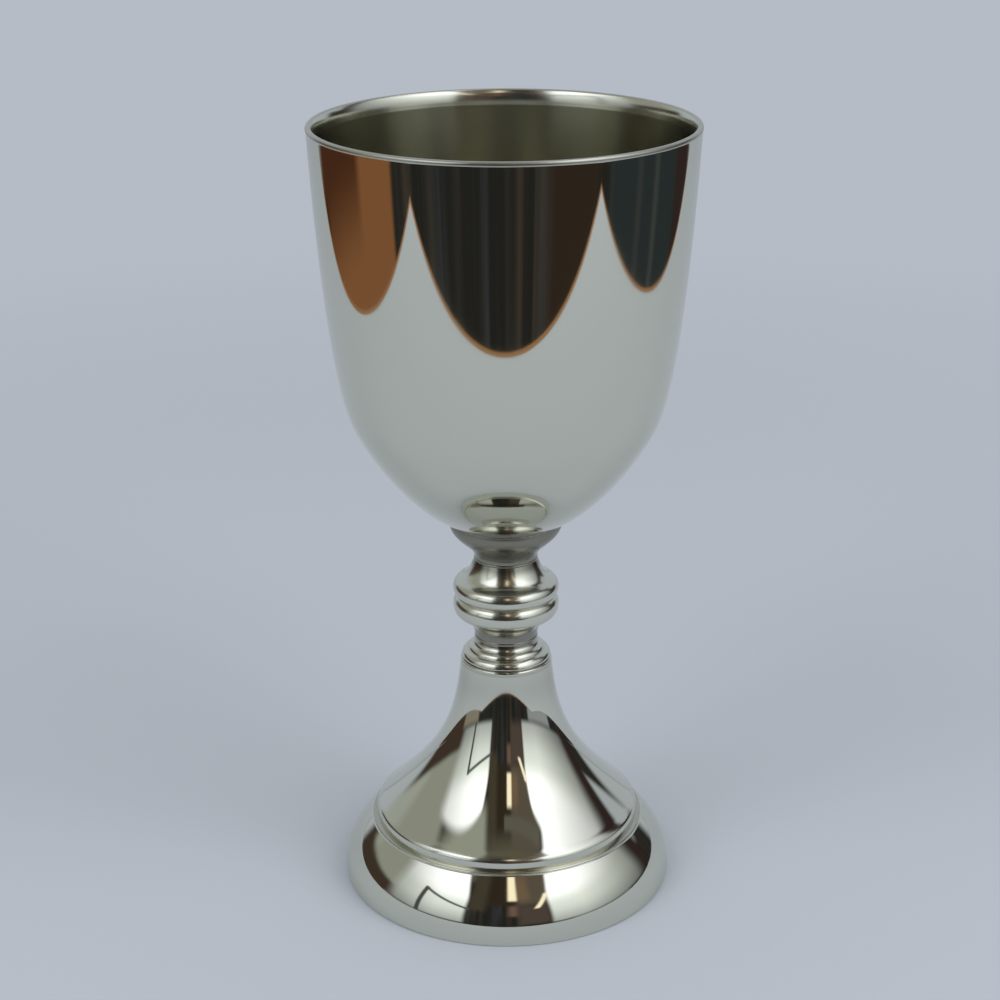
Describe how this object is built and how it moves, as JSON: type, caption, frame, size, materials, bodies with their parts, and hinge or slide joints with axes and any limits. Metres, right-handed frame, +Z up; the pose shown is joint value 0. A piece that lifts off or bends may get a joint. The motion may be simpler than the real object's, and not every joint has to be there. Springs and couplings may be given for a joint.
{
  "type": "communion chalice",
  "caption": "Footed cup with a spun, round-bottomed bowl, a turned stem with a beaded knop and a hollow trumpet foot, drawn together by a tie rod.",
  "frame": {"origin": "centre of the resting ring, on the surface that the foot stands on", "axes": "+Z up along the chalice's own axis, out of the bowl's mouth; X and Y are alike, because every piece but the nut and the split washer is turned"},
  "size_m": [0.08, 0.08, 0.169],
  "materials": {
    "polished_pewter": "mirror polished outside, satin inside the bowl, dull under the foot",
    "plain_brass": "as turned",
    "plain_steel": "bright zinc"
  },
  "bodies": {
    "root": {"bowl": "polished_pewter", "bowl_boss": "plain_brass", "cup_seat": "polished_pewter", "knop_upper": "polished_pewter", "knop_lower": "polished_pewter", "stem_collar": "polished_pewter", "foot_shell": "polished_pewter", "foot_ring": "polished_pewter", "tie_rod": "plain_steel", "flat_washer": "plain_steel", "split_washer": "plain_steel", "clamp_nut": "plain_brass"}
  },
  "joints": []
}
